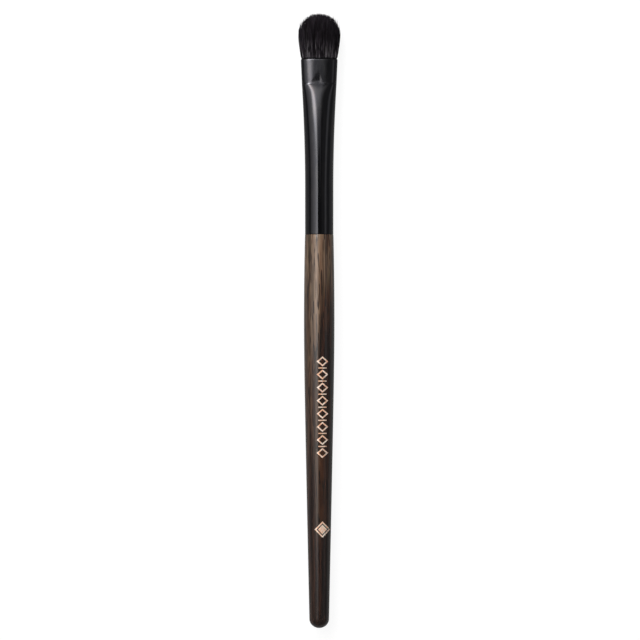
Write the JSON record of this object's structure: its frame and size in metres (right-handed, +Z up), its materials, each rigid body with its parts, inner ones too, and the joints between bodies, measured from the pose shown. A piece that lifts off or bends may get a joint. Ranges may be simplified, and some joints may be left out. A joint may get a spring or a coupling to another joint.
{
  "type": "eyeshadow brush",
  "caption": "Slim make-up brush with a turned wooden handle, a black crimped metal ferrule and a flat domed tuft of dark hair.",
  "frame": {"origin": "on the table, halfway along the brush, below its axis, at the height of the underside of the handle's thickest place", "axes": "+X along the brush towards the hair, +Y across the tuft's wide side, +Z up through its thin side"},
  "size_m": [0.165, 0.0114, 0.0082],
  "materials": {
    "lacquered_wood": "fine-grained brown-black hardwood under a thin satin lacquer, lighter and greyer at the ferrule end",
    "black_plated_brass": "drawn brass tube, polished and black nickel plated, with soft reflections",
    "hair": "fine straight black hair with tapered tips",
    "epoxy": "clear amber cast resin, hidden inside the ferrule",
    "copper_foil": "thin copper-coloured foil stamped on the handle's lacquer, satin",
    "binding_thread": "undyed cotton thread, hidden inside the ferrule"
  },
  "bodies": {
    "root": {"handle": "lacquered_wood", "tenon_glue": "epoxy", "ferrule": "black_plated_brass", "root_plug": "epoxy", "root_binding": "binding_thread", "bristle_tuft": "hair"}
  },
  "joints": []
}
